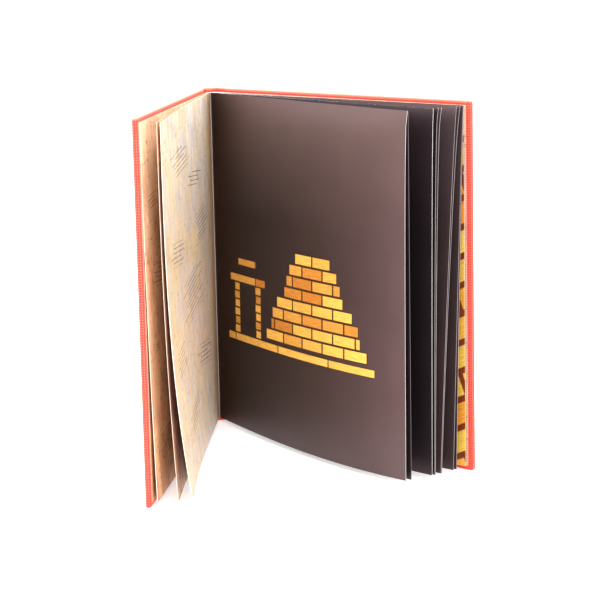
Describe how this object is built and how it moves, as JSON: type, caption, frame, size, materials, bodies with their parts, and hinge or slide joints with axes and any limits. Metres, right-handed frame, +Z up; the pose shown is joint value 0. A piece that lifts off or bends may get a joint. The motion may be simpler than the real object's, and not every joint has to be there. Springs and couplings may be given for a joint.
{
  "type": "picture booklet",
  "caption": "Square cloth-covered picture booklet with hinged board covers, folded endpapers and stiff leaves, standing open on its tail edge.",
  "frame": {"origin": "on the ground under the middle of the open booklet", "axes": "+Z up from tail to head, +Y towards the spine, so the booklet opens to -Y, and the front cover is on the -X side"},
  "size_m": [0.2214, 0.2184, 0.24],
  "materials": {
    "cover_cloth": "woven coral book cloth",
    "endpaper": "uncoated paper printed in parchment tones",
    "dark_page": "semi-gloss coated card printed dark brown"
  },
  "bodies": {
    "spine": {"spine": "cover_cloth", "pages": "dark_page"},
    "front_cover": {"front_cover": "cover_cloth", "front_endpaper": "endpaper"},
    "back_cover": {"back_cover": "cover_cloth", "back_endpaper": "endpaper"}
  },
  "joints": [
    {"name": "front_hinge", "type": "hinge", "parent": "spine", "child": "front_cover", "pos_m": [-0.00539, 0.108, 0], "axis": [0, 0, 1], "range_deg": [-62.6, 27.4], "deforming": ["pages", "front_endpaper"]},
    {"name": "back_hinge", "type": "hinge", "parent": "spine", "child": "back_cover", "pos_m": [0.00539, 0.108, 0], "axis": [0, 0, 1], "range_deg": [-27.4, 62.6], "deforming": ["pages", "back_endpaper"]}
  ]
}
